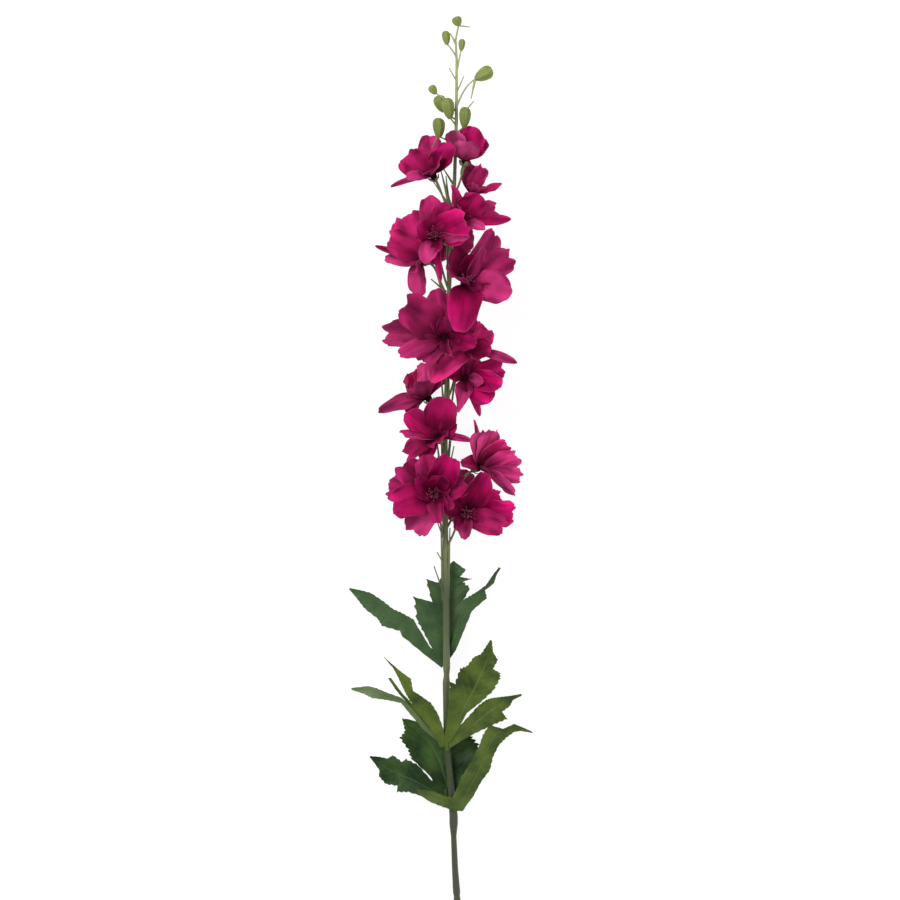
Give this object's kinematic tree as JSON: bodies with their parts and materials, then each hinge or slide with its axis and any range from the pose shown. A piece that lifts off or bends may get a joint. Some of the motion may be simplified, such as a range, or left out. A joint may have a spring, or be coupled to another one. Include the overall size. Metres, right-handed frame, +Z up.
{
  "type": "delphinium flower spike",
  "caption": "Cut delphinium spike lying down: a long green stem with magenta layered blooms, buds at the tip and lobed leaves near the cut end.",
  "frame": {"origin": "on the surface, under the middle of the spike's bounding box", "axes": "+Y along the spike towards its bud tip, +Z up from the surface, +X to the right seen from above"},
  "size_m": [0.1656, 0.8022, 0.087],
  "materials": {
    "petals": "matte",
    "stem": "matte",
    "leaf_upper": "matte",
    "leaf_middle": "matte",
    "leaf_lower": "matte"
  },
  "bodies": {
    "root": {"stem": "stem", "leaf_upper": "leaf_upper", "leaf_middle": "leaf_middle", "leaf_lower": "leaf_lower", "bloom_a": "petals", "bloom_b": "petals", "bloom_c": "petals", "bloom_d": "petals", "bloom_e": "petals", "bloom_f": "petals", "bloom_h": "petals", "bloom_j": "petals", "bloom_k": "petals", "bloom_l": "petals", "bloom_m": "petals", "bloom_n": "petals", "bloom_o": "petals", "bloom_p": "petals", "bloom_q": "petals", "bloom_r": "petals", "bloom_s": "petals", "bloom_t": "petals"}
  },
  "joints": []
}
